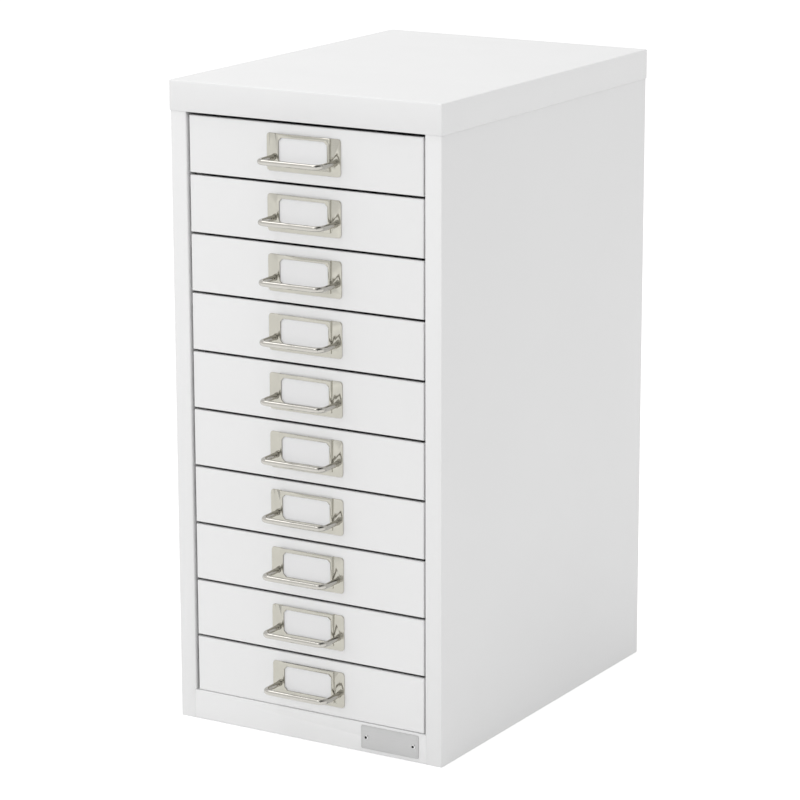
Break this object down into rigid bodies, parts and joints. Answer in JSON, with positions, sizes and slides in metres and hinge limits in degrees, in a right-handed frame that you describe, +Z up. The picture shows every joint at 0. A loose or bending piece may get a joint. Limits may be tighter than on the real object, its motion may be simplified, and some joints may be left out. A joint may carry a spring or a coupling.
{
  "type": "multi-drawer cabinet",
  "caption": "Tabletop steel cabinet with a stack of shallow sliding drawers, each with a card holder and wire pull.",
  "frame": {"origin": "middle of the underside of the cabinet, midway across and midway front to back of the body", "axes": "+X to the right seen from the front, +Y to the back, +Z up; drawers pull out along -Y"},
  "size_m": [0.279, 0.4065, 0.59],
  "materials": {
    "powder_coat": "white powder coat, satin, very fine texture",
    "nickel_plate": "polished nickel plate on steel",
    "card_paper": "matt white card",
    "bare_plate": "brushed along its length",
    "rivet_metal": "bright, slightly domed"
  },
  "bodies": {
    "case": {"top_cap": "powder_coat", "side_panel_left": "powder_coat", "side_panel_right": "powder_coat", "back_panel": "powder_coat", "base_pan": "powder_coat", "plinth_rail": "powder_coat", "header_rail": "powder_coat", "runner_uprights": "powder_coat", "runners_left": "powder_coat", "runners_right": "powder_coat", "plinth_plate": "bare_plate", "plinth_rivets": "rivet_metal"},
    "drawer_01": {"drawer_01_tray": "powder_coat", "drawer_01_card_holder": "nickel_plate", "drawer_01_card": "card_paper", "drawer_01_pull": "nickel_plate"},
    "drawer_02": {"drawer_02_tray": "powder_coat", "drawer_02_card_holder": "nickel_plate", "drawer_02_card": "card_paper", "drawer_02_pull": "nickel_plate"},
    "drawer_03": {"drawer_03_tray": "powder_coat", "drawer_03_card_holder": "nickel_plate", "drawer_03_card": "card_paper", "drawer_03_pull": "nickel_plate"},
    "drawer_04": {"drawer_04_tray": "powder_coat", "drawer_04_card_holder": "nickel_plate", "drawer_04_card": "card_paper", "drawer_04_pull": "nickel_plate"},
    "drawer_05": {"drawer_05_tray": "powder_coat", "drawer_05_card_holder": "nickel_plate", "drawer_05_card": "card_paper", "drawer_05_pull": "nickel_plate"},
    "drawer_06": {"drawer_06_tray": "powder_coat", "drawer_06_card_holder": "nickel_plate", "drawer_06_card": "card_paper", "drawer_06_pull": "nickel_plate"},
    "drawer_07": {"drawer_07_tray": "powder_coat", "drawer_07_card_holder": "nickel_plate", "drawer_07_card": "card_paper", "drawer_07_pull": "nickel_plate"},
    "drawer_08": {"drawer_08_tray": "powder_coat", "drawer_08_card_holder": "nickel_plate", "drawer_08_card": "card_paper", "drawer_08_pull": "nickel_plate"},
    "drawer_09": {"drawer_09_tray": "powder_coat", "drawer_09_card_holder": "nickel_plate", "drawer_09_card": "card_paper", "drawer_09_pull": "nickel_plate"},
    "drawer_10": {"drawer_10_tray": "powder_coat", "drawer_10_card_holder": "nickel_plate", "drawer_10_card": "card_paper", "drawer_10_pull": "nickel_plate"}
  },
  "joints": [
    {"name": "drawer_01_slide", "type": "slide", "parent": "case", "child": "drawer_01", "axis": [0, -1, 0], "range_m": [0, 0.3]},
    {"name": "drawer_02_slide", "type": "slide", "parent": "case", "child": "drawer_02", "axis": [0, -1, 0], "range_m": [0, 0.3]},
    {"name": "drawer_03_slide", "type": "slide", "parent": "case", "child": "drawer_03", "axis": [0, -1, 0], "range_m": [0, 0.3]},
    {"name": "drawer_04_slide", "type": "slide", "parent": "case", "child": "drawer_04", "axis": [0, -1, 0], "range_m": [0, 0.3]},
    {"name": "drawer_05_slide", "type": "slide", "parent": "case", "child": "drawer_05", "axis": [0, -1, 0], "range_m": [0, 0.3]},
    {"name": "drawer_06_slide", "type": "slide", "parent": "case", "child": "drawer_06", "axis": [0, -1, 0], "range_m": [0, 0.3]},
    {"name": "drawer_07_slide", "type": "slide", "parent": "case", "child": "drawer_07", "axis": [0, -1, 0], "range_m": [0, 0.3]},
    {"name": "drawer_08_slide", "type": "slide", "parent": "case", "child": "drawer_08", "axis": [0, -1, 0], "range_m": [0, 0.3]},
    {"name": "drawer_09_slide", "type": "slide", "parent": "case", "child": "drawer_09", "axis": [0, -1, 0], "range_m": [0, 0.3]},
    {"name": "drawer_10_slide", "type": "slide", "parent": "case", "child": "drawer_10", "axis": [0, -1, 0], "range_m": [0, 0.3]}
  ]
}
